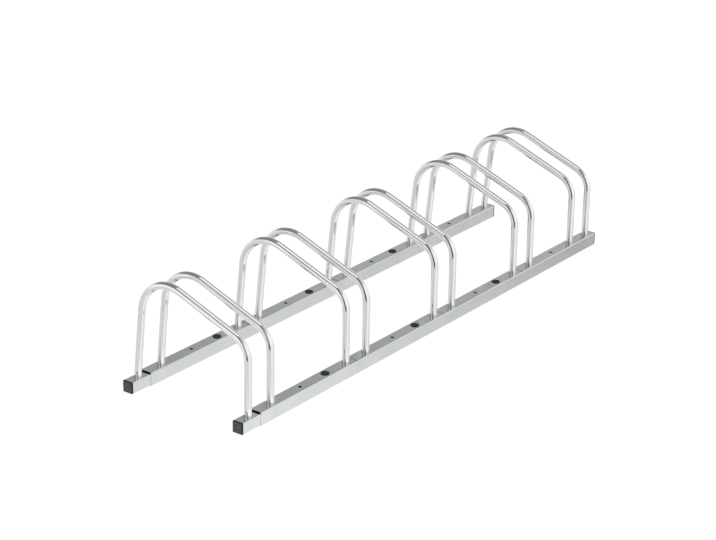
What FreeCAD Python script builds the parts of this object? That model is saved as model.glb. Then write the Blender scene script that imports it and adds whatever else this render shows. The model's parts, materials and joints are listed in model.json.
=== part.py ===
import FreeCAD, Part
import math
import os

# Floor bike rack: ten bent tube hoops, in five pairs, stand on two square tube rails.
# Each rail is plugged together from equal sections, with a smaller square tube inside each joint.
# Millimetres. X runs along the rails, Y from the front rail to the rear rail, Z up from the floor.
# The origin is on the floor, at the centre of the whole rack.

Vector = FreeCAD.Vector

# ---- rails
RAIL_SIZE = 30.0            # outside width and height of a rail
RAIL_WALL = 1.5
RAIL_CORNER = 2.5           # outside corner radius of the rail's section
RAIL_SPACING = 290.0        # centre line of the front rail to centre line of the rear rail
SECTION_COUNT = 4           # sections in each rail
SECTION_LENGTH = 315.0
MOUTH_BEVEL = 1.2           # around the outside of a section's left end
TAIL_BEVEL = 0.6            # around the outside of its right end

# ---- inserts: the smaller tubes that join the sections
INSERT_PLAY = 1.6           # the rail's bore less the insert's size; the insert lies low and to the front
INSERT_WALL = 1.5
INSERT_CORNER = 2.0
INSERT_END = 30.5           # from the insert's end to the nearest hoop

# ---- holes along a section, from its left end
PAIR_GAP = 69.0             # centre to centre of the two hoops that hold one wheel
FIRST_HOOP_AT = 47.0
FLOOR_HOLE_AT = 141.5
FLOOR_HOLE_DIAMETER = 8.0

# ---- hoops
HOOP_DIAMETER = 16.0
HOOP_WALL = 1.2
HOOP_HOLE_CLEARANCE = 0.2   # between a leg and the hole it passes, on the radius
LOW_CORNER_HEIGHT = 148.0   # above the rail, where the front leg's line meets the slope's line
HIGH_CORNER_HEIGHT = 248.0  # above the rail, where the rear leg's line meets the slope's line
LOW_BEND_RADIUS = 50.0      # to the tube's centre line, as all bend radii
HIGH_BEND_RADIUS = 76.0
REAR_LEG_LEAN = 5.6         # degrees that the rear leg leans towards the front rail
FOOT_BEND_RADIUS = 100.0
FOOT_BEND_HEIGHT = 9.0      # above the rail, where the rear leg starts to lean

# ---- screws from below, into a threaded bush in each foot of a hoop
SCREW_DIAMETER = 5.0
SCREW_LENGTH = 16.0
SCREW_HEAD_DIAMETER = 10.0
SCREW_SOCKET = 3.0          # across the flats of the hexagon socket
SCREW_SOCKET_DEPTH = 1.6
SCREW_CLEARANCE = 0.2       # around the head and shank, on the radius
BUSH_LENGTH = 12.0
BUSH_RECESS = 1.2           # from the end of the leg up to the bush
BUSH_FIT = 0.05             # between the bush and the leg's bore, on the radius
THREAD_CLEARANCE = 0.1

# ---- black caps in the rail ends
CAP_FLANGE = 3.0
CAP_EDGE = 1.0              # rounding around the cap's outer face
CAP_FIT = 0.1               # between the cap's fins and the tube
CAP_FIN_HEIGHT = 0.8
CAP_FIN_THICKNESS = 1.2
CAP_FIN_COUNT = 2
CAP_SHELL = 2.0
END_CAP_DEPTH = 8.0
STUB_CAP_DEPTH = 13.0

# ---- black plugs in the spare hoop holes
PLUG_FLANGE_DIAMETER = 19.0
PLUG_FLANGE_HEIGHT = 1.6
PLUG_EDGE = 0.8
PLUG_DISH_DIAMETER = 11.0
PLUG_DISH_DEPTH = 0.4
PLUG_SHELL = 1.4
PLUG_LIP = 0.3              # how far the snap lip reaches under the rail's wall
PLUG_STEM_LENGTH = 6.0

FLAT = 0.01                 # how far an edge may lie from a plane and still count as in it

# ---- derived sizes
INSERT_SIZE = RAIL_SIZE - 2 * RAIL_WALL - INSERT_PLAY
INSERT_LENGTH = PAIR_GAP + 2 * INSERT_END
STUB_LENGTH = PAIR_GAP + INSERT_END - FIRST_HOOP_AT      # what shows of the first insert
LAST_HOOP_AT = SECTION_LENGTH + FIRST_HOOP_AT - PAIR_GAP
SPARE_HOLE_AT = LAST_HOOP_AT - PAIR_GAP
RACK_LENGTH = SECTION_COUNT * SECTION_LENGTH + STUB_LENGTH + 2 * CAP_FLANGE
RACK_LEFT = -RACK_LENGTH / 2
RAILS_LEFT = RACK_LEFT + CAP_FLANGE + STUB_LENGTH        # left end of the first sections
FRONT_Y = -RAIL_SPACING / 2
REAR_Y = RAIL_SPACING / 2
INSERT_BOTTOM = RAIL_WALL
INSERT_FLOOR = INSERT_BOTTOM + INSERT_WALL               # inside face of the insert's bottom wall
HOOP_HOLE_RADIUS = HOOP_DIAMETER / 2 + HOOP_HOLE_CLEARANCE
SCREW_HEAD_HEIGHT = (SCREW_HEAD_DIAMETER - SCREW_DIAMETER) / 2


# ---- shared shapes
def rounded_square(size, corner, x, z_bottom, y):
    """A square wire with round corners, across the X axis."""
    half = size / 2
    z_mid = z_bottom + half
    straight = half - corner
    edges = []
    for turn in range(4):
        spin = math.pi / 2 * turn
        cos_spin = math.cos(spin)
        sin_spin = math.sin(spin)

        def place(side, up):
            return Vector(x, y + side * cos_spin - up * sin_spin, z_mid + side * sin_spin + up * cos_spin)

        bend = half - corner + corner * math.sqrt(0.5)
        edges.append(Part.LineSegment(place(half, -straight), place(half, straight)).toShape())
        edges.append(Part.Arc(place(half, straight), place(bend, bend), place(straight, half)).toShape())
    return Part.Wire(edges)


def square_bar(size, corner, x, length, z_bottom, y):
    face = Part.Face(rounded_square(size, corner, x, z_bottom, y))
    return face.extrude(Vector(length, 0, 0))


def square_tube(size, wall, corner, x, length, z_bottom, y):
    outside = square_bar(size, corner, x, length, z_bottom, y)
    bore = square_bar(size - 2 * wall, corner - wall, x, length, z_bottom + wall, y)
    return outside.cut(bore)


def end_edges(bar, x):
    """The edges of a bar that lie flat at x."""
    return [edge for edge in bar.Edges if all(abs(end.X - x) < FLAT for end in edge.Vertexes)]


def upright_cylinder(radius, z_bottom, z_top, x, y):
    return Part.makeCylinder(radius, z_top - z_bottom, Vector(x, y, z_bottom))


def countersink(z_bottom, z_top, x, y):
    """The cone that clears a screw head whose flat face is at z_bottom."""
    wide = SCREW_HEAD_DIAMETER / 2 + SCREW_CLEARANCE
    shank = SCREW_DIAMETER / 2 + SCREW_CLEARANCE
    depth = min(z_top - z_bottom, wide - shank)
    cone = Part.makeCone(wide, wide - depth, depth, Vector(x, y, z_bottom))
    return cone.fuse(upright_cylinder(shank, z_bottom, z_top, x, y))


def turned(outline, x, y, z):
    """A turned piece from its outline, a list of (radius, height) points."""
    points = [Vector(x + radius, y, z + height) for radius, height in outline]
    face = Part.Face(Part.makePolygon(points + points[:1]))
    return face.revolve(Vector(x, y, z), Vector(0, 0, 1), 360)


def bent_path(points, radii):
    """A wire along the points, with an arc of the given radius at each inner point."""
    edges = []
    start = points[0]
    for before, corner, after, radius in zip(points, points[1:], points[2:], radii):
        back = (before - corner).normalize()
        ahead = (after - corner).normalize()
        half_angle = back.getAngle(ahead) / 2
        trim = radius / math.tan(half_angle)
        inward = (back + ahead).normalize()
        middle = corner + inward * (radius / math.sin(half_angle) - radius)
        arc_start = corner + back * trim
        arc_end = corner + ahead * trim
        edges.append(Part.LineSegment(start, arc_start).toShape())
        edges.append(Part.Arc(arc_start, middle, arc_end).toShape())
        start = arc_end
    edges.append(Part.LineSegment(start, points[-1]).toShape())
    return Part.Wire(edges)


# ---- rails
def rail_section(x, y):
    """One section: holes for three hoops in its top wall, and one floor screw hole right through."""
    bar = square_bar(RAIL_SIZE, RAIL_CORNER, x, SECTION_LENGTH, 0, y)
    bar = bar.makeChamfer(MOUTH_BEVEL, end_edges(bar, x))
    bar = bar.makeChamfer(TAIL_BEVEL, end_edges(bar, x + SECTION_LENGTH))
    bore = square_bar(RAIL_SIZE - 2 * RAIL_WALL, RAIL_CORNER - RAIL_WALL, x, SECTION_LENGTH, RAIL_WALL, y)
    section = bar.cut(bore)
    cuts = [upright_cylinder(FLOOR_HOLE_DIAMETER / 2, 0, RAIL_SIZE, x + FLOOR_HOLE_AT, y)]
    for hoop_at in (FIRST_HOOP_AT, SPARE_HOLE_AT, LAST_HOOP_AT):
        cuts.append(upright_cylinder(HOOP_HOLE_RADIUS, RAIL_SIZE / 2, RAIL_SIZE, x + hoop_at, y))
        cuts.append(countersink(0, RAIL_WALL, x + hoop_at, y))
    return section.cut(cuts)


def rail_insert(x, y):
    """The tube inside a joint. Both hoops of a pair pass its top wall and stand on its bottom wall."""
    tube_y = y - INSERT_PLAY / 2
    insert = square_tube(INSERT_SIZE, INSERT_WALL, INSERT_CORNER, x, INSERT_LENGTH, INSERT_BOTTOM, tube_y)
    cuts = []
    for hoop_at in (INSERT_END, INSERT_END + PAIR_GAP):
        cuts.append(upright_cylinder(HOOP_HOLE_RADIUS, RAIL_SIZE / 2, RAIL_SIZE, x + hoop_at, y))
        cuts.append(countersink(INSERT_BOTTOM, INSERT_FLOOR, x + hoop_at, y))
    return insert.cut(cuts)


def end_cap(size, wall, corner, depth, x, outward, z_bottom, y):
    """A cap in a tube's end: rounded flange, hollow body and thin fins that grip the tube's bore."""
    bore = size - 2 * wall
    flange = square_bar(size, corner, x, outward * CAP_FLANGE, z_bottom, y)
    face_x = x + outward * CAP_FLANGE
    flange = flange.makeFillet(CAP_EDGE, end_edges(flange, face_x))
    body_size = bore - 2 * (CAP_FIT + CAP_FIN_HEIGHT)
    body_drop = (size - body_size) / 2
    cap = flange.fuse(square_bar(body_size, corner - wall, x, -outward * depth, z_bottom + body_drop, y))
    fin_size = bore - 2 * CAP_FIT
    fin_drop = (size - fin_size) / 2
    fin_pitch = (depth - CAP_FIN_THICKNESS) / CAP_FIN_COUNT
    for fin in range(CAP_FIN_COUNT):
        fin_x = x - outward * fin_pitch * (fin + 1)
        thickness = -outward * CAP_FIN_THICKNESS
        cap = cap.fuse(square_bar(fin_size, corner - wall, fin_x, thickness, z_bottom + fin_drop, y))
    hollow_size = body_size - 2 * CAP_SHELL
    hollow_drop = (size - hollow_size) / 2
    hollow = square_bar(hollow_size, corner - wall, x, -outward * depth, z_bottom + hollow_drop, y)
    return cap.cut(hollow).removeSplitter()


def hole_plug(x, y):
    """A snap-in plug in a spare hoop hole: dished round flange, hollow stem and a lip under the wall."""
    flange = PLUG_FLANGE_DIAMETER / 2
    dish = PLUG_DISH_DIAMETER / 2
    stem = HOOP_HOLE_RADIUS - HOOP_HOLE_CLEARANCE
    lip = HOOP_HOLE_RADIUS + PLUG_LIP
    lip_top = -RAIL_WALL - HOOP_HOLE_CLEARANCE
    outline = [
        (0, PLUG_FLANGE_HEIGHT - PLUG_DISH_DEPTH),
        (dish - PLUG_DISH_DEPTH, PLUG_FLANGE_HEIGHT - PLUG_DISH_DEPTH),
        (dish, PLUG_FLANGE_HEIGHT),
        (flange - PLUG_EDGE, PLUG_FLANGE_HEIGHT),
        (flange, PLUG_FLANGE_HEIGHT - PLUG_EDGE),
        (flange, 0),
        (stem, 0),
        (stem, lip_top),
        (lip, lip_top),
        (stem - PLUG_LIP, -PLUG_STEM_LENGTH),
        (stem - PLUG_SHELL, -PLUG_STEM_LENGTH),
        (stem - PLUG_SHELL, 0),
        (0, 0),
    ]
    return turned(outline, x, y, RAIL_SIZE)


# ---- hoops and what fastens them
def hoop(x, foot_z):
    """One hoop. foot_z is where its legs end; on an insert that is INSERT_FLOOR."""
    drop = INSERT_FLOOR - foot_z
    rail_top = RAIL_SIZE - drop
    low_z = rail_top + LOW_CORNER_HEIGHT
    high_z = rail_top + HIGH_CORNER_HEIGHT
    foot_bend_z = rail_top + FOOT_BEND_HEIGHT
    high_y = REAR_Y - (high_z - foot_bend_z) * math.tan(math.radians(REAR_LEG_LEAN))
    points = [
        Vector(x, FRONT_Y, foot_z),
        Vector(x, FRONT_Y, low_z),
        Vector(x, high_y, high_z),
        Vector(x, REAR_Y, foot_bend_z),
        Vector(x, REAR_Y, foot_z),
    ]
    path = bent_path(points, [LOW_BEND_RADIUS, HIGH_BEND_RADIUS, FOOT_BEND_RADIUS])
    solids = []
    for radius in (HOOP_DIAMETER / 2, HOOP_DIAMETER / 2 - HOOP_WALL):
        ring = Part.Wire(Part.makeCircle(radius, points[0], Vector(0, 0, 1)))
        solids.append(path.makePipeShell([ring], True, False))
    return solids[0].cut(solids[1])


def leg_bush(foot_z, x, y):
    outer = HOOP_DIAMETER / 2 - HOOP_WALL - BUSH_FIT
    bore = SCREW_DIAMETER / 2 + THREAD_CLEARANCE
    bottom = foot_z + BUSH_RECESS
    top = bottom + BUSH_LENGTH
    return upright_cylinder(outer, bottom, top, x, y).cut(upright_cylinder(bore, bottom, top, x, y))


def leg_screw(head_z, x, y):
    """A countersunk screw, its head's flat face down at head_z, with a hexagon socket."""
    head = SCREW_HEAD_DIAMETER / 2
    shank = SCREW_DIAMETER / 2
    outline = [(0, 0), (head, 0), (shank, SCREW_HEAD_HEIGHT), (shank, SCREW_LENGTH), (0, SCREW_LENGTH)]
    screw = turned(outline, x, y, head_z)
    corner = SCREW_SOCKET / math.sqrt(3)
    points = []
    for step in range(6):
        angle = math.pi / 3 * step
        points.append(Vector(x + corner * math.cos(angle), y + corner * math.sin(angle), head_z))
    socket = Part.Face(Part.makePolygon(points + points[:1]))
    return screw.cut(socket.extrude(Vector(0, 0, SCREW_SOCKET_DEPTH)))


# ---- places
def section_left(index):
    return RAILS_LEFT + index * SECTION_LENGTH


def hoop_places():
    """(x, where the legs end, where the screw heads end) for each hoop, from the left."""
    places = []
    for index in range(SECTION_COUNT):
        second = section_left(index) + FIRST_HOOP_AT
        head_z = INSERT_BOTTOM if index == 0 else 0
        places.append((second - PAIR_GAP, INSERT_FLOOR, head_z))
        places.append((second, INSERT_FLOOR, 0))
    last = section_left(SECTION_COUNT - 1) + LAST_HOOP_AT
    places.append((last - PAIR_GAP, RAIL_WALL, 0))
    places.append((last, RAIL_WALL, 0))
    return places


def build():
    nodes = {}
    stub_left = section_left(0) - STUB_LENGTH
    rail_right = section_left(SECTION_COUNT)
    for side, y in (("front", FRONT_Y), ("rear", REAR_Y)):
        for index in range(SECTION_COUNT):
            left = section_left(index)
            nodes[f"{side}_rail_section_{index + 1}"] = rail_section(left, y)
            nodes[f"{side}_rail_insert_{index + 1}"] = rail_insert(left - STUB_LENGTH, y)
            if index < SECTION_COUNT - 1:
                nodes[f"{side}_hole_plug_{index + 1}"] = hole_plug(left + SPARE_HOLE_AT, y)
        stub_tube = (INSERT_SIZE, INSERT_WALL, INSERT_CORNER)
        stub_y = y - INSERT_PLAY / 2
        nodes[f"{side}_stub_cap"] = end_cap(*stub_tube, STUB_CAP_DEPTH, stub_left, -1, INSERT_BOTTOM, stub_y)
        rail_tube = (RAIL_SIZE, RAIL_WALL, RAIL_CORNER)
        nodes[f"{side}_end_cap"] = end_cap(*rail_tube, END_CAP_DEPTH, rail_right, 1, 0, y)
        bushes = []
        screws = []
        for x, foot_z, head_z in hoop_places():
            bushes.append(leg_bush(foot_z, x, y))
            screws.append(leg_screw(head_z, x, y))
        nodes[f"{side}_leg_bushes"] = Part.makeCompound(bushes)
        nodes[f"{side}_leg_screws"] = Part.makeCompound(screws)
    for index, (x, foot_z, _) in enumerate(hoop_places()):
        nodes[f"hoop_{index + 1}"] = hoop(x, foot_z)
    return nodes


os.makedirs("parts", exist_ok=True)
for name, shape in build().items():
    shape.exportStep(f"parts/{name}.step")
    print(f"{name}: {len(shape.Solids)} solids, {shape.Volume / 1000:.2f} cm3, valid {shape.isValid()}")
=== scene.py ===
import json
import math

import bpy
from mathutils import Matrix, Vector

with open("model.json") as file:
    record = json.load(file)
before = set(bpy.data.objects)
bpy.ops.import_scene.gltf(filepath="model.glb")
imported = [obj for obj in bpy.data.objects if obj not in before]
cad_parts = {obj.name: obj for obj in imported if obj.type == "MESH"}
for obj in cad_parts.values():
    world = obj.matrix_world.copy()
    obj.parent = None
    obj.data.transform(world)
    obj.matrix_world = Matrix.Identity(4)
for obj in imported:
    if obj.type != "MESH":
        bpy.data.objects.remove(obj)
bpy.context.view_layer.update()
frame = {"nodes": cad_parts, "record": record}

# ---- camera: where the photograph was taken from, in the row frame
PHOTO_WIDTH = 716
FOCAL_PX = 2129.6
SENSOR_MM = 36.0
CAMERA_AZIMUTH = 53.418     # degrees from +Y towards +X that the camera looks
CAMERA_ELEVATION = 22.35    # degrees that it looks down
CAMERA_ROLL = -1.166        # degrees
CLIP_END = 100
# a point on the front rail's top centre line, and where it lies from the camera, in metres
TIE_POINT = Vector((-0.65675, -0.145, 0.030))
TIE_RIGHT = -0.23414
TIE_DOWN = 0.29237
TIE_AHEAD = 4.15031

# ---- studio: brightness 1 is white, azimuths and heights are in degrees, lengths in metres
# reflections see a room of their own, set by comparing renders with the photograph; other light is plain
FLOOR_SIZE = 30.0
WHITE = (1.0, 1.0, 1.0)
FLOOR_GLOW = 0.86           # the floor's own light, to the camera
FLOOR_SHADE = (0.20, 0.20, 0.20)        # what the floor adds where it isn't in shadow
FLOOR_CARD = (0.80, 0.80, 0.80)         # the floor as the light between surfaces sees it
FLOOR_FADE_X = 0.65         # half the length over which the tints below change
FLOOR_LEFT = 0.91           # how much of the room below shows through in reflections, along the rack
FLOOR_RIGHT = 0.95
RAIL_LEFT = 1.15            # the same beside the front faces of the rails
RAIL_RIGHT = 0.60
RAIL_STRIP_MIDDLE = -0.04   # the strips lie at this Y, plus and minus the offset
RAIL_STRIP_OFFSET = 0.145
RAIL_STRIP_NEAR = 0.035
RAIL_STRIP_FAR = 0.065
REAR_STRIP = 0.5            # how much weaker that is by the rear rail
ROOM_LIGHT = 0.90           # the world as all but camera and glossy rays see it
WALL_BRIGHT_AZIMUTH = 170
WALL_NEAR = 1.25
WALL_FAR = 1.05
WALL_TOP_NEAR = 46
WALL_TOP_FAR = 18
WALL_TOP_SOFT = 0.16
CEILING_NEAR = 0.70
CEILING_SIDE = 0.50
CEILING_FAR = 0.30
CEILING_SPLIT = 0.5         # from here to the front the ceiling goes from CEILING_SIDE to CEILING_NEAR
GREY_AZIMUTH = 48
GREY_HALF = 20
GREY_SOFT = 14
GREY_LEVEL = 0.58
OPENING_AZIMUTH = 244
OPENING_HALF = 19
OPENING_LEVEL = 0.12
OPENING_SOFT = 4
OPENING_BOTTOM = -0.33      # as the sine of an angle below the horizon
OPENING_EDGE = 0.04
LOWER_NEAR = 1.12           # below the horizon, towards LOWER_AZIMUTH
LOWER_FAR = 0.92
LOWER_AZIMUTH = 75
PANEL_AZIMUTH = 188         # a brighter panel below the horizon
PANEL_HALF = 22
PANEL_SOFT = 12
PANEL_LEVEL = 0.33
HORIZON_SOFT = 0.05
OVERHEAD_PLACE = (-0.42, 0.0, 2.8)
OVERHEAD_AIM = (-0.42, 0.0, 0.0)
OVERHEAD_WIDTH = 2.1
OVERHEAD_DEPTH = 1.4
OVERHEAD_LEVEL = 0.85
LEFT_PLACE = (-0.95, 0.1, 0.32)
LEFT_AIM = (0.0, 0.1, 0.32)
LEFT_WIDTH = 1.0
LEFT_HEIGHT = 0.44
LEFT_LEVEL = 0.3


def add_camera():
    azimuth = math.radians(CAMERA_AZIMUTH)
    elevation = math.radians(CAMERA_ELEVATION)
    roll = math.radians(CAMERA_ROLL)
    ahead = Vector((
        math.sin(azimuth) * math.cos(elevation),
        math.cos(azimuth) * math.cos(elevation),
        -math.sin(elevation),
    ))
    level_right = Vector((math.cos(azimuth), -math.sin(azimuth), 0))
    level_down = ahead.cross(level_right)
    right = level_right * math.cos(roll) + level_down * math.sin(roll)
    down = level_down * math.cos(roll) - level_right * math.sin(roll)
    place = TIE_POINT - right * TIE_RIGHT - down * TIE_DOWN - ahead * TIE_AHEAD
    data = bpy.data.cameras.new("camera")
    data.sensor_width = SENSOR_MM
    data.lens = FOCAL_PX / PHOTO_WIDTH * SENSOR_MM
    data.clip_end = CLIP_END
    camera = bpy.data.objects.new("camera", data)
    axes = Matrix((right, -down, -ahead)).transposed()
    camera.matrix_world = Matrix.Translation(place) @ axes.to_4x4()
    bpy.context.scene.collection.objects.link(camera)
    bpy.context.scene.camera = camera


class Shader:
    """A node tree being built, with short calls for the nodes used here."""

    def __init__(self, tree):
        self.tree = tree
        self.tree.nodes.clear()

    def add(self, kind, inputs=None, **settings):
        node = self.tree.nodes.new(kind)
        for key, value in settings.items():
            setattr(node, key, value)
        for key, value in (inputs or {}).items():
            if isinstance(value, bpy.types.NodeSocket):
                self.tree.links.new(value, node.inputs[key])
            else:
                node.inputs[key].default_value = value
        return node

    def coordinates(self, scale):
        place = self.add("ShaderNodeTexCoord").outputs["Object"]
        return self.add("ShaderNodeMapping", {"Vector": place, "Scale": scale}).outputs["Vector"]

    def noise(self, stretch, scale, detail, rough=0.5):
        place = self.coordinates(stretch)
        inputs = {"Vector": place, "Scale": scale, "Detail": detail, "Roughness": rough}
        return self.add("ShaderNodeTexNoise", inputs).outputs["Fac"]

    def ramp(self, value, low, high, to_low, to_high):
        inputs = {"Value": value, "From Min": low, "From Max": high, "To Min": to_low, "To Max": to_high}
        return self.add("ShaderNodeMapRange", inputs).outputs["Result"]

    def mix(self, factor, one, two):
        node = self.add("ShaderNodeMix", data_type="RGBA")
        for key, value in (("Factor", factor), ("A", one), ("B", two)):
            sockets = [s for s in node.inputs if s.name == key and s.enabled]
            if isinstance(value, bpy.types.NodeSocket):
                self.tree.links.new(value, sockets[0])
            else:
                sockets[0].default_value = value if key == "Factor" else (*value, 1.0)
        return [s for s in node.outputs if s.enabled][0]

    def math(self, operation, one, two=0.0):
        return self.add("ShaderNodeMath", {0: one, 1: two}, operation=operation).outputs[0]

    def mix_value(self, factor, one, two):
        return self.add("ShaderNodeMix", {0: factor, 2: one, 3: two}).outputs[0]

    def step(self, value, low, high):
        """0 below low, 1 above high, smooth between."""
        inputs = {"Value": value, "From Min": low, "From Max": high}
        return self.add("ShaderNodeMapRange", inputs, interpolation_type="SMOOTHSTEP").outputs["Result"]

    def bump(self, height, depth):
        inputs = {"Height": height, "Strength": 1.0, "Distance": depth}
        return self.add("ShaderNodeBump", inputs).outputs["Normal"]

    def rail_axes(self):
        """Sideways distance from the nearer rail's centre line, and height."""
        place = self.add("ShaderNodeTexCoord").outputs["Object"]
        axes = self.add("ShaderNodeSeparateXYZ", {0: place}).outputs
        off = self.math("SUBTRACT", self.math("ABSOLUTE", axes["Y"]), RAIL_OFFSET)
        return self.math("ABSOLUTE", off), axes["Z"]

    def in_box(self, off, height, half, low, high):
        above = self.math("GREATER_THAN", height, low)
        under = self.math("LESS_THAN", height, high)
        return self.math("MULTIPLY", self.math("MULTIPLY", above, under), self.math("LESS_THAN", off, half))

    def inside_tube(self, bottom, top, bore_half, flat_half):
        """1 on a rail tube's inner faces and in its holes, where shade is painted, and 0 on its outer
        faces.
        """
        off, height = self.rail_axes()
        bore = self.in_box(off, height, bore_half, bottom + WALL, top - WALL)
        holes = self.in_box(off, height, flat_half, bottom + SKIN, top - SKIN)
        return self.math("MAXIMUM", bore, holes)

    def surface(self, shader):
        self.add("ShaderNodeOutputMaterial", {"Surface": shader})


def new_material(name):
    material = bpy.data.materials.new(name)
    material.use_nodes = True
    return material, Shader(material.node_tree)


# ---- materials: lengths in metres, the scales of noises per metre
ALONG_RAIL = (0.06, 1.0, 1.0)       # stretches a texture along the rail, as drawing marks
EVEN = (1.0, 1.0, 1.0)
CLOUD_LOW = 0.3                     # the part of a noise's range that a colour or roughness follows
CLOUD_HIGH = 0.7
BRIGHT_CLOUDS = 14.0
BRIGHT_GRAINS = 900.0
RAIL_CLOUDS = 22.0
RAIL_LINES = 700.0
SCREW_GRAINS = 1200.0
PLASTIC_GRAINS = 1500.0
PLASTIC_CLOUDS = 330.0
RAIL_OFFSET = 0.145                 # from the middle of the rack to a rail's centre line, in metres
SKIN = 0.0002                       # how far under an outer face a tube's inside begins, in its holes
WALL = 0.0012                       # the same beside its walls
SECTION_BOTTOM = 0.0
SECTION_TOP = 0.030
SECTION_BORE = 0.0136               # half width that counts as inside the tube
SECTION_FLAT = 0.0125               # half width of the flat in which its holes lie
INSERT_BOTTOM = 0.0015
INSERT_TOP = 0.0269
INSERT_BORE = 0.0107
INSERT_FLAT = 0.0105
# painted shade: the near-black colour inside the tubes and in their holes, then the roughness there
INSIDE_PAINTED_SHADE = (0.015, 0.015, 0.015)
INSIDE_ROUGH = 0.55
BRIGHT_DULL = (0.69, 0.69, 0.665)   # the hoops' zinc goes from this
BRIGHT_CLEAR = (0.73, 0.735, 0.73)  # to this
BRIGHT_SMOOTH = 0.03
BRIGHT_ROUGH = 0.07
BRIGHT_DEPTH = 0.000004             # how deep its bumps are
RAIL_DULL = (0.56, 0.585, 0.585)
RAIL_CLEAR = (0.63, 0.64, 0.64)
RAIL_SMOOTH = 0.10
RAIL_ROUGH = 0.16
RAIL_DEPTH = 0.00001
SCREW_DULL = (0.50, 0.50, 0.48)
SCREW_CLEAR = (0.66, 0.66, 0.64)
SCREW_SMOOTH = 0.25
SCREW_ROUGH = 0.40
SCREW_DEPTH = 0.00001
PLASTIC_BLACK = (0.034, 0.035, 0.037)
PLASTIC_DUSTY = (0.078, 0.079, 0.081)
PLASTIC_RIM = (0.008, 0.008, 0.009)
PLASTIC_SMOOTH = 0.42
PLASTIC_ROUGH = 0.58
PLASTIC_SHINE = 0.3
PLASTIC_DEPTH = 0.00004
DUST_LOW = 0.35
DUST_HIGH = 0.65
CAP_MIDDLE = 0.0142                 # height of the middle of a stub's cap
CAP_FLAT = 0.0100                   # how far from there the dusty flat reaches
CAP_FADE = 0.0012


def bright_zinc():
    """Smooth bright zinc on bent tube: a clear reflection, slightly clouded."""
    material, shader = new_material("bright_zinc")
    cloud = shader.noise(EVEN, BRIGHT_CLOUDS, detail=4.0)
    grain = shader.noise(EVEN, BRIGHT_GRAINS, detail=2.0)
    colour = shader.mix(shader.ramp(cloud, CLOUD_LOW, CLOUD_HIGH, 0.0, 1.0), BRIGHT_DULL, BRIGHT_CLEAR)
    rough = shader.ramp(cloud, CLOUD_LOW, CLOUD_HIGH, BRIGHT_SMOOTH, BRIGHT_ROUGH)
    normal = shader.bump(grain, BRIGHT_DEPTH)
    metal = shader.add("ShaderNodeBsdfPrincipled",
                       {"Base Color": colour, "Metallic": 1.0, "Roughness": rough, "Normal": normal})
    shader.surface(metal.outputs["BSDF"])
    return material


def galvanised(name, bottom, top, bore_half, flat_half):
    """Satin zinc on a square tube: fine drawing marks along it, and a faint cloudiness.

    Inside the tube and in its holes the colour is near black, as painted shade, and rougher.
    """
    material, shader = new_material(name)
    marks = shader.noise(ALONG_RAIL, RAIL_LINES, detail=3.0, rough=0.6)
    cloud = shader.noise(EVEN, RAIL_CLOUDS, detail=4.0, rough=0.6)
    tint = shader.ramp(cloud, CLOUD_LOW, CLOUD_HIGH, 0.0, 1.0)
    zinc = shader.mix(tint, RAIL_DULL, RAIL_CLEAR)
    inside = shader.inside_tube(bottom, top, bore_half, flat_half)
    # painted shade: near black inside the tube and in its holes
    colour = shader.mix(inside, zinc, INSIDE_PAINTED_SHADE)
    satin = shader.ramp(cloud, CLOUD_LOW, CLOUD_HIGH, RAIL_SMOOTH, RAIL_ROUGH)
    rough = shader.mix_value(inside, satin, INSIDE_ROUGH)
    normal = shader.bump(marks, RAIL_DEPTH)
    metal = shader.add("ShaderNodeBsdfPrincipled",
                       {"Base Color": colour, "Metallic": 1.0, "Roughness": rough, "Normal": normal})
    shader.surface(metal.outputs["BSDF"])
    return material


def zinc_screw():
    """Duller zinc on the screws and bushes in the feet of the hoops."""
    material, shader = new_material("zinc_screw")
    grain = shader.noise(EVEN, SCREW_GRAINS, detail=3.0)
    colour = shader.mix(grain, SCREW_DULL, SCREW_CLEAR)
    rough = shader.ramp(grain, CLOUD_LOW, CLOUD_HIGH, SCREW_SMOOTH, SCREW_ROUGH)
    normal = shader.bump(grain, SCREW_DEPTH)
    metal = shader.add("ShaderNodeBsdfPrincipled",
                       {"Base Color": colour, "Metallic": 1.0, "Roughness": rough, "Normal": normal})
    shader.surface(metal.outputs["BSDF"])
    return material


def black_plastic():
    """Moulded black plastic with a fine spark-eroded texture, dusty on the flat of the caps."""
    material, shader = new_material("black_plastic")
    grain = shader.noise(EVEN, PLASTIC_GRAINS, detail=4.0, rough=0.6)
    cloud = shader.noise(EVEN, PLASTIC_CLOUDS, detail=3.0)
    dusty = shader.ramp(cloud, DUST_LOW, DUST_HIGH, 0.0, 1.0)
    dust = shader.mix(dusty, PLASTIC_BLACK, PLASTIC_DUSTY)
    off, height = shader.rail_axes()
    rise = shader.math("ABSOLUTE", shader.math("SUBTRACT", height, CAP_MIDDLE))
    reach = shader.math("MAXIMUM", off, rise)
    rim = shader.step(reach, CAP_FLAT, CAP_FLAT + CAP_FADE)
    colour = shader.mix(rim, dust, PLASTIC_RIM)
    rough = shader.ramp(grain, CLOUD_LOW, CLOUD_HIGH, PLASTIC_SMOOTH, PLASTIC_ROUGH)
    normal = shader.bump(grain, PLASTIC_DEPTH)
    plastic = shader.add("ShaderNodeBsdfPrincipled", {
        "Base Color": colour,
        "Roughness": rough,
        "Specular IOR Level": PLASTIC_SHINE,
        "Normal": normal,
    })
    shader.surface(plastic.outputs["BSDF"])
    return material


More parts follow.
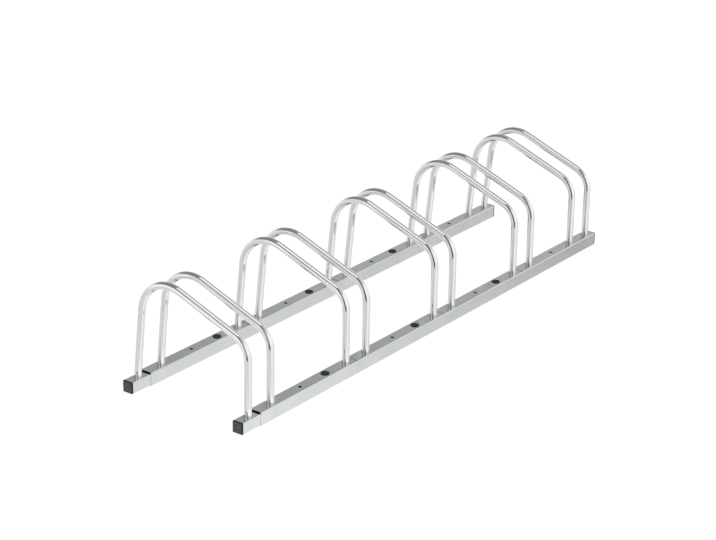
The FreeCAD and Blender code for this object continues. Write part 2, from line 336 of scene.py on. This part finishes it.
def white_floor():
    """White to the camera apart from the object's shadow.

    Reflections look through it, slightly tinted, into the lower half of the room. The tint follows the
    shading of the rails in the photograph, and isn't that of a real floor.
    """
    material, shader = new_material("white_floor")
    path = shader.add("ShaderNodeLightPath")
    place = shader.add("ShaderNodeTexCoord").outputs["Object"]
    axes = shader.add("ShaderNodeSeparateXYZ", {0: place}).outputs
    open_floor = shader.ramp(axes["X"], -FLOOR_FADE_X, FLOOR_FADE_X, FLOOR_LEFT, FLOOR_RIGHT)
    beside_rail = shader.ramp(axes["X"], -FLOOR_FADE_X, FLOOR_FADE_X, RAIL_LEFT, RAIL_RIGHT)
    across = shader.math("ABSOLUTE", shader.math("SUBTRACT", axes["Y"], RAIL_STRIP_MIDDLE))
    off_strip = shader.math("ABSOLUTE", shader.math("SUBTRACT", across, RAIL_STRIP_OFFSET))
    strip = shader.step(off_strip, RAIL_STRIP_NEAR, RAIL_STRIP_FAR)
    rear = shader.math("MULTIPLY", shader.math("GREATER_THAN", axes["Y"], 0.0), REAR_STRIP)
    strip = shader.math("MAXIMUM", strip, rear)
    level = shader.mix_value(strip, beside_rail, open_floor)
    tint = shader.add("ShaderNodeCombineColor", {0: level, 1: level, 2: level}).outputs["Color"]
    clear = shader.add("ShaderNodeBsdfTransparent", {"Color": tint}).outputs["BSDF"]
    glow = shader.add("ShaderNodeEmission", {"Color": (*WHITE, 1.0), "Strength": FLOOR_GLOW})
    light = glow.outputs["Emission"]
    shade = shader.add("ShaderNodeBsdfDiffuse", {"Color": (*FLOOR_SHADE, 1.0)}).outputs["BSDF"]
    seen = shader.add("ShaderNodeAddShader", {0: light, 1: shade}).outputs["Shader"]
    card = shader.add("ShaderNodeBsdfDiffuse", {"Color": (*FLOOR_CARD, 1.0)}).outputs["BSDF"]
    plain = shader.add("ShaderNodeMixShader", {0: path.outputs["Is Diffuse Ray"], 1: seen, 2: card})
    floor = shader.add("ShaderNodeMixShader",
                       {0: path.outputs["Is Glossy Ray"], 1: plain.outputs["Shader"], 2: clear})
    shader.surface(floor.outputs["Shader"])
    return material


def add_floor():
    mesh = bpy.data.meshes.new("floor")
    half = FLOOR_SIZE / 2
    corners = [(-half, -half, 0), (half, -half, 0), (half, half, 0), (-half, half, 0)]
    mesh.from_pydata(corners, [], [(0, 1, 2, 3)])
    floor = bpy.data.objects.new("floor", mesh)
    floor.data.materials.append(white_floor())
    bpy.context.scene.collection.objects.link(floor)


def add_world():
    """Plain light, white to the camera, and for reflections a pale room.

    The room has walls up to a soft edge, a darker ceiling, a grey sector, a dark opening, and a brighter
    panel below the horizon.
    """
    world = bpy.data.worlds.new("studio")
    bpy.context.scene.world = world
    world.use_nodes = True
    shader = Shader(world.node_tree)
    direction = shader.add("ShaderNodeTexCoord").outputs["Generated"]
    toward = shader.add("ShaderNodeVectorMath", {0: direction}, operation="NORMALIZE").outputs[0]
    up = shader.add("ShaderNodeSeparateXYZ", {0: toward}).outputs["Z"]
    level_length = shader.math("SQRT", shader.math("SUBTRACT", 1.0, shader.math("MULTIPLY", up, up)))

    def facing(azimuth):
        """1 towards this azimuth and -1 away from it, at any height."""
        turn = math.radians(azimuth)
        inputs = {0: toward, 1: (math.sin(turn), math.cos(turn), 0.0)}
        flat = shader.add("ShaderNodeVectorMath", inputs, operation="DOT_PRODUCT").outputs["Value"]
        return shader.math("DIVIDE", flat, level_length)

    def within(azimuth, half, soft):
        """1 inside a sector of azimuths, 0 outside."""
        outer = math.cos(math.radians(half + soft))
        inner = math.cos(math.radians(half - soft))
        return shader.step(facing(azimuth), outer, inner)

    front = shader.ramp(facing(WALL_BRIGHT_AZIMUTH), -1.0, 1.0, 0.0, 1.0)
    top_far = math.sin(math.radians(WALL_TOP_FAR))
    top_near = math.sin(math.radians(WALL_TOP_NEAR))
    top = shader.ramp(front, 0.0, 1.0, top_far, top_near)
    below = shader.step(shader.math("SUBTRACT", top, up), -WALL_TOP_SOFT, WALL_TOP_SOFT)
    wall = shader.ramp(front, 0.0, 1.0, WALL_FAR, WALL_NEAR)
    grey = shader.math("MULTIPLY", within(GREY_AZIMUTH, GREY_HALF, GREY_SOFT), 1.0 - GREY_LEVEL)
    wall = shader.math("MULTIPLY", wall, shader.math("SUBTRACT", 1.0, grey))
    over_sill = shader.step(up, OPENING_BOTTOM - OPENING_EDGE, OPENING_BOTTOM + OPENING_EDGE)
    opening = shader.math("MULTIPLY", within(OPENING_AZIMUTH, OPENING_HALF, OPENING_SOFT), over_sill)
    near_ceiling = shader.ramp(front, CEILING_SPLIT, 1.0, CEILING_SIDE, CEILING_NEAR)
    ceiling = shader.mix_value(shader.step(front, 0.0, CEILING_SPLIT), CEILING_FAR, near_ceiling)
    upper = shader.mix_value(below, ceiling, wall)
    lower = shader.ramp(facing(LOWER_AZIMUTH), -1.0, 1.0, LOWER_FAR, LOWER_NEAR)
    panel = shader.math("MULTIPLY", within(PANEL_AZIMUTH, PANEL_HALF, PANEL_SOFT), PANEL_LEVEL)
    lower = shader.math("ADD", lower, panel)
    room = shader.mix_value(shader.step(up, -HORIZON_SOFT, HORIZON_SOFT), lower, upper)
    room = shader.mix_value(opening, room, OPENING_LEVEL)
    path = shader.add("ShaderNodeLightPath")
    reflected = shader.mix_value(path.outputs["Is Glossy Ray"], ROOM_LIGHT, room)
    strength = shader.mix_value(path.outputs["Is Camera Ray"], reflected, 1.0)
    light = shader.add("ShaderNodeBackground", {"Color": (*WHITE, 1.0), "Strength": strength}).outputs[0]
    shader.add("ShaderNodeOutputWorld", {"Surface": light})


def add_soft_box(name, place, aim, size, level):
    """A soft box at a place, turned towards a point; level is how bright its face looks, 1 for white."""
    data = bpy.data.lights.new(name, "AREA")
    data.shape = "RECTANGLE"
    width, height = size
    data.size = width
    data.size_y = height
    data.energy = level * width * height * math.pi
    box = bpy.data.objects.new(name, data)
    box.location = place
    box.rotation_euler = (Vector(aim) - Vector(place)).to_track_quat("-Z", "Y").to_euler()
    box.visible_camera = False
    bpy.context.scene.collection.objects.link(box)


def add_lamps():
    overhead_size = (OVERHEAD_WIDTH, OVERHEAD_DEPTH)
    add_soft_box("overhead_box", OVERHEAD_PLACE, OVERHEAD_AIM, overhead_size, OVERHEAD_LEVEL)
    add_soft_box("left_box", LEFT_PLACE, LEFT_AIM, (LEFT_WIDTH, LEFT_HEIGHT), LEFT_LEVEL)


def finish_nodes():
    finishes = {
        "hoop_steel": bright_zinc(),
        "rail_steel": galvanised(
            "galvanised_section", SECTION_BOTTOM, SECTION_TOP, SECTION_BORE, SECTION_FLAT),
        "fastener_steel": zinc_screw(),
        "black_plastic": black_plastic(),
    }
    insert_finish = galvanised("galvanised_insert", INSERT_BOTTOM, INSERT_TOP, INSERT_BORE, INSERT_FLAT)
    for part in frame["record"]["subparts"]:
        node = frame["nodes"][part["node"]]
        node.data.materials.clear()
        finish = insert_finish if "insert" in part["node"] else finishes[part["material_slot"]]
        node.data.materials.append(finish)


finish_nodes()
add_floor()
add_world()
add_lamps()
add_camera()
bpy.context.scene.view_settings.view_transform = "Standard"
